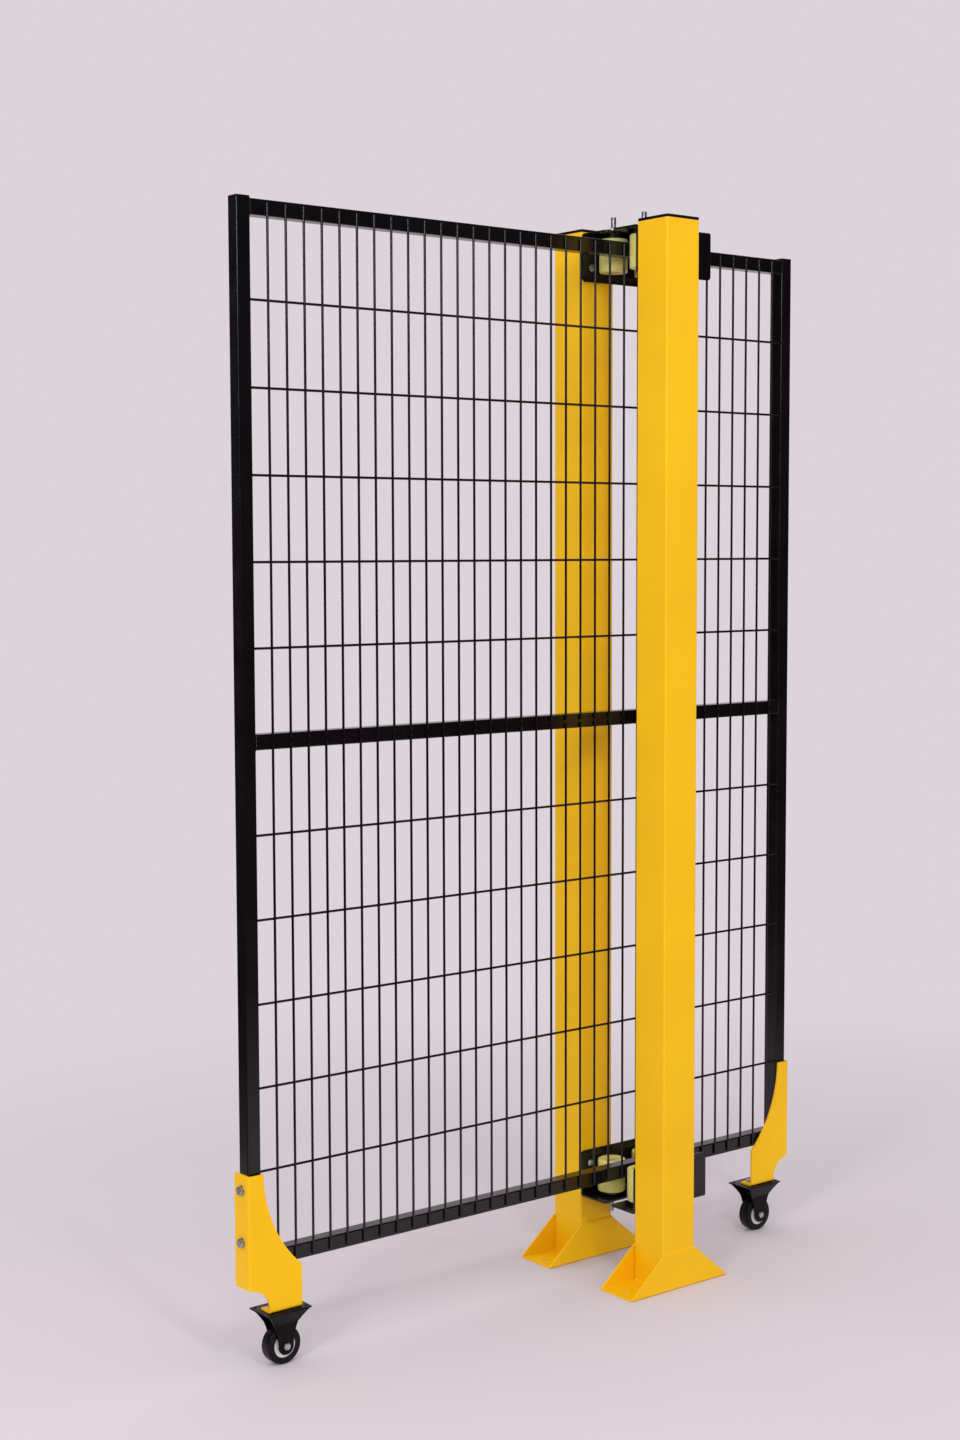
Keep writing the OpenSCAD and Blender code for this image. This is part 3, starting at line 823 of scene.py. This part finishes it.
# ---- Casters --------------------------------------------------------------------
# Fixed plate casters. The fork is one pressing of black enamelled steel, and the
# wheel is a nylon core with a polyurethane tyre, turning on a plated bolt.


def press_enamel():
    """Black baked enamel on pressed steel: glossier than the powder coat, faintly drawn by the press."""
    DRAW = 14 * MM  # width of a ripple left by the press
    PATCH = 30 * MM
    SMEAR = 18 * MM
    material, tree, shader, place = new_finish("black baked enamel")
    grain(tree, shader, place, DRAW, 0.3, 0.25 * MM)
    tint(tree, shader, place, PATCH, "#030203", "#060506")
    gloss(tree, shader, place, SMEAR, 0.22, 0.34)
    shader.inputs["Specular IOR Level"].default_value = 0.15
    return material


def tyre_rubber():
    """Cast black polyurethane: smooth and waxy, dulled where it has rolled on the floor."""
    GRIT = 1.1 * MM  # what the floor presses into the tread
    DUST = 9 * MM
    SCUFF = 12 * MM
    material, tree, shader, place = new_finish("black cast polyurethane")
    grain(tree, shader, place, GRIT, 0.25, 0.05 * MM, detail=3.0)
    tint(tree, shader, place, DUST, "#070607", "#121012", detail=4.0)
    gloss(tree, shader, place, SCUFF, 0.3, 0.5)
    shader.inputs["Specular IOR Level"].default_value = 0.2
    return material


def core_nylon():
    """Off-white injection-moulded nylon with a soft sheen and slight shrink marks."""
    SINK = 5 * MM  # width of a shrink mark
    FLOW = 15 * MM
    SHEEN = 8 * MM
    material, tree, shader, place = new_finish("off-white moulded nylon")
    grain(tree, shader, place, SINK, 0.25, 0.08 * MM, detail=1.0)
    tint(tree, shader, place, FLOW, "#EBEBE8", "#F6F5F1")
    gloss(tree, shader, place, SHEEN, 0.34, 0.48)
    return material


enamel = press_enamel()
polyurethane = tyre_rubber()
hub_nylon = core_nylon()
TYRE_SHOULDER = 5 * MM
PARTING = 0.35 * MM  # half the width of the mould's parting line round the tyre
FLASH = 0.1 * MM  # how far that line stands proud of the tread
CORE_BORE = 4.3 * MM  # radius
BOSS_R = 8 * MM
AXLE_R = 4 * MM
AXLE_HEAD = 6.5 * MM  # half the width across the flats
AXLE_HEAD_H = 5 * MM
AXLE_NUT_H = 6.4 * MM
forward = Matrix.Rotation(math.radians(90), 4, "X")  # lays a turned piece's axis along -Y
for side, inward in SIDES:
    dress(side + "_caster_fork", enamel, 0.6 * MM)
    tyre_low, tyre_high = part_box(side + "_wheel_tread")
    core_low, core_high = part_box(side + "_wheel_core")
    axle_low, axle_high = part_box(side + "_caster_axle")
    place = Matrix.Translation((tyre_low + tyre_high) / 2) @ forward
    radius = (tyre_high.z - tyre_low.z) / 2
    half = (tyre_high.y - tyre_low.y) / 2
    hub = (core_high.z - core_low.z) / 2
    wheel = side + "_wheel"

    flank = [
        (hub, half),
        (radius - TYRE_SHOULDER - 1.4 * MM, half),
        *arc((radius - TYRE_SHOULDER, half - TYRE_SHOULDER), TYRE_SHOULDER, 80, 0, 6),
        (radius - FLASH, half * 0.3),
        (radius - FLASH, PARTING * 1.5),
        (radius, PARTING),
    ]
    mirrored = [(r, -z) for r, z in reversed(flank)]
    bm = bmesh.new()
    turn(bm, [(hub, 0), *flank, *mirrored], place, sides=96, closed=True)
    tyre = piece_of(bm, side + "_tyre", polyurethane)
    settle(tyre, wheel, "wheel_tread", side + "_wheel_tread", crease=50)

    boss = (core_high.y - core_low.y) / 2
    rim = half - 2.5 * MM
    web = rim - 2 * MM
    dish = [
        (CORE_BORE, boss),
        (BOSS_R - 0.6 * MM, boss),
        (BOSS_R, boss - 0.6 * MM),
        (BOSS_R + 0.3 * MM, web + 0.6 * MM),
        (BOSS_R + 1.5 * MM, web),
        (hub - 5 * MM, web),
        (hub - 3.6 * MM, web + 0.4 * MM),
        (hub - 3 * MM, rim + 0.3 * MM),
        (hub - 2.2 * MM, rim + 0.8 * MM),
        (hub, rim + 0.4 * MM),
    ]
    mirrored = [(r, -z) for r, z in reversed(dish)]
    bm = bmesh.new()
    turn(bm, [*dish, *mirrored], place, sides=72, closed=True)
    core = piece_of(bm, side + "_hub", hub_nylon)
    settle(core, wheel, "wheel_core", side + "_wheel_core", crease=40)

    near = (axle_high.y - axle_low.y) / 2
    axis = Matrix.Translation((axle_low + axle_high) / 2) @ forward
    tip = [(0, -near), (AXLE_R - 0.6 * MM, -near), (AXLE_R, 0.6 * MM - near)]
    inner = near - 1 * MM  # the shank ends inside the head
    bm = bmesh.new()
    turn(bm, [*tip, (AXLE_R, inner), (0, inner)], axis)
    stamped_head(bm, axis, near - AXLE_HEAD_H, near, AXLE_HEAD)
    hexagon(bm, axis, -near, AXLE_NUT_H - near, AXLE_HEAD)
    bolt = piece_of(bm, side + "_axle_bolt", bright_zinc)
    settle(bolt, "panel", "zinc_plate", side + "_caster_axle")

# ---- Studio -------------------------------------------------------------------
# A seamless pale floor that melts into the same pale tone behind everything, under
# an even dome of light. Three soft boxes stand on the viewer's side, to the left,
# in front and behind the viewer. Gloss facing the viewer's side mirrors a painted
# dark reflection there, though the dome still lights everything from that side.
BACKDROP = "#DDD4DB"
# Painted dark reflection: glossy rays towards the viewer's side see this dark tone, while the dome lights
# from there.
PAINTED_DARK_REFLECTION = "#141315"  # the room on the viewer's side, as gloss mirrors it
REFLECTION_EDGE = (108.5, 129.3)  # degrees off the viewer's side, over which it gives way to the backdrop
MELT = (0.9, 3.0)  # metres from the middle, over which the floor becomes the backdrop
PAINT_PATCH = 1.3  # metres
FLOOR_REACH = 60  # metres from the middle to each side


def seen_straight(tree):
    """One where a ray comes from the camera, or by way of a reflection or clear material."""
    path = add(tree, "ShaderNodeLightPath")
    mirrored = add(
        tree,
        "ShaderNodeMath",
        {"operation": "MAXIMUM"},
        {0: path.outputs["Is Camera Ray"], 1: path.outputs["Is Glossy Ray"]},
    )
    through = add(
        tree,
        "ShaderNodeMath",
        {"operation": "MAXIMUM"},
        {0: mirrored.outputs[0], 1: path.outputs["Is Transmission Ray"]},
    )
    return through.outputs[0]


def painted_reflection_side(tree, direction):
    """One where gloss mirrors the painted dark reflection on the viewer's side, fading to nought where it
    mirrors the backdrop.
    """
    viewer = Vector((EYE.x, EYE.y, 0)).normalized()
    towards = add(tree, "ShaderNodeVectorMath", {"operation": "DOT_PRODUCT", 1: viewer}, {0: direction})
    near, far = [math.cos(math.radians(angle)) for angle in REFLECTION_EDGE]
    side = add(
        tree, "ShaderNodeMapRange", {"From Min": far, "From Max": near}, {"Value": towards.outputs["Value"]}
    )
    path = add(tree, "ShaderNodeLightPath")
    both = add(
        tree,
        "ShaderNodeMath",
        {"operation": "MULTIPLY"},
        {0: side.outputs[0], 1: path.outputs["Is Glossy Ray"]},
    )
    return both.outputs[0]


def pale_floor():
    """Matt painted floor with a breath of lilac. It takes the object's shadows, and fades away far off."""
    material, tree, shader, place = new_finish("pale matt floor paint")
    tint(tree, shader, place, PAINT_PATCH, "#CFC7CD", "#D3CAD1")
    shader.inputs["Roughness"].default_value = 0.9
    shader.inputs["Specular IOR Level"].default_value = 0.05
    away = add(tree, "ShaderNodeVectorMath", {"operation": "LENGTH"}, {0: place})
    fade = add(
        tree,
        "ShaderNodeMapRange",
        {"interpolation_type": "SMOOTHSTEP", "From Min": MELT[0], "From Max": MELT[1]},
        {"Value": away.outputs["Value"]},
    )
    seen = seen_straight(tree)
    both = add(tree, "ShaderNodeMath", {"operation": "MULTIPLY"}, {0: fade.outputs[0], 1: seen})
    outward = add(tree, "ShaderNodeVectorMath", {"operation": "NORMALIZE"}, {0: place}).outputs[0]
    # Far off the floor glows as the backdrop, but glossy rays towards the viewer's side see the painted dark
    # reflection there.
    shades = {"data_type": "RGBA", 6: linear(BACKDROP), 7: linear(PAINTED_DARK_REFLECTION)}
    beyond = add(tree, "ShaderNodeMix", shades, {0: painted_reflection_side(tree, outward)})
    glow = add(tree, "ShaderNodeEmission", links={"Color": beyond.outputs[2]})
    blend = add(
        tree, "ShaderNodeMixShader", links={0: both.outputs[0], 1: shader.outputs[0], 2: glow.outputs[0]}
    )
    output = next(node for node in tree.nodes if node.type == "OUTPUT_MATERIAL")
    tree.links.new(blend.outputs[0], output.inputs["Surface"])
    return material


bm = bmesh.new()
bmesh.ops.create_grid(bm, x_segments=4, y_segments=4, size=FLOOR_REACH)
floor = piece_of(bm, "floor", pale_floor())

world = bpy.data.worlds.new("studio")
scene.world = world
world.use_nodes = True
sky = world.node_tree
sky.nodes.clear()
dome = add(sky, "ShaderNodeBackground", {"Color": linear("#FFFCFF"), "Strength": 0.9})
backdrop = add(sky, "ShaderNodeBackground", {"Color": linear(BACKDROP), "Strength": 1.0})
dark_reflection = add(sky, "ShaderNodeBackground", {"Color": linear(PAINTED_DARK_REFLECTION), "Strength": 1.0})
choice = add(
    sky, "ShaderNodeMixShader", links={0: seen_straight(sky), 1: dome.outputs[0], 2: backdrop.outputs[0]}
)
direction = add(sky, "ShaderNodeTexCoord").outputs["Generated"]
# Painted dark reflection: glossy rays towards the viewer's side see the dark tone instead of the dome or
# backdrop.
world_with_dark_reflection = add(
    sky,
    "ShaderNodeMixShader",
    links={0: painted_reflection_side(sky, direction), 1: choice.outputs[0], 2: dark_reflection.outputs[0]},
)
add(sky, "ShaderNodeOutputWorld", links={"Surface": world_with_dark_reflection.outputs[0]})

SOFT_BOXES = {
    # place, what it points at, width and height, watts
    "left_box": ((-4.8, -2.1, 3.5), (-0.2, 0.1, 1.1), (0.9, 1.8), 70),
    "front_box": ((-1.3, -3.4, 4.0), (-0.2, 0.1, 1.1), (0.5, 0.8), 37),
    "rear_box": ((-4.3, -4.6, 3.35), (-0.2, 0.1, 1.6), (2.2, 0.9), 55),
}
for name, (spot, aim, size, watts) in SOFT_BOXES.items():
    lamp = bpy.data.lights.new(name, "AREA")
    lamp.shape = "RECTANGLE"
    lamp.size, lamp.size_y = size
    lamp.energy = watts
    holder = bpy.data.objects.new(name, lamp)
    holder.location = spot
    holder.rotation_euler = (Vector(aim) - Vector(spot)).to_track_quat("-Z", "Y").to_euler()
    scene.collection.objects.link(holder)
scene.view_settings.view_transform = "Standard"
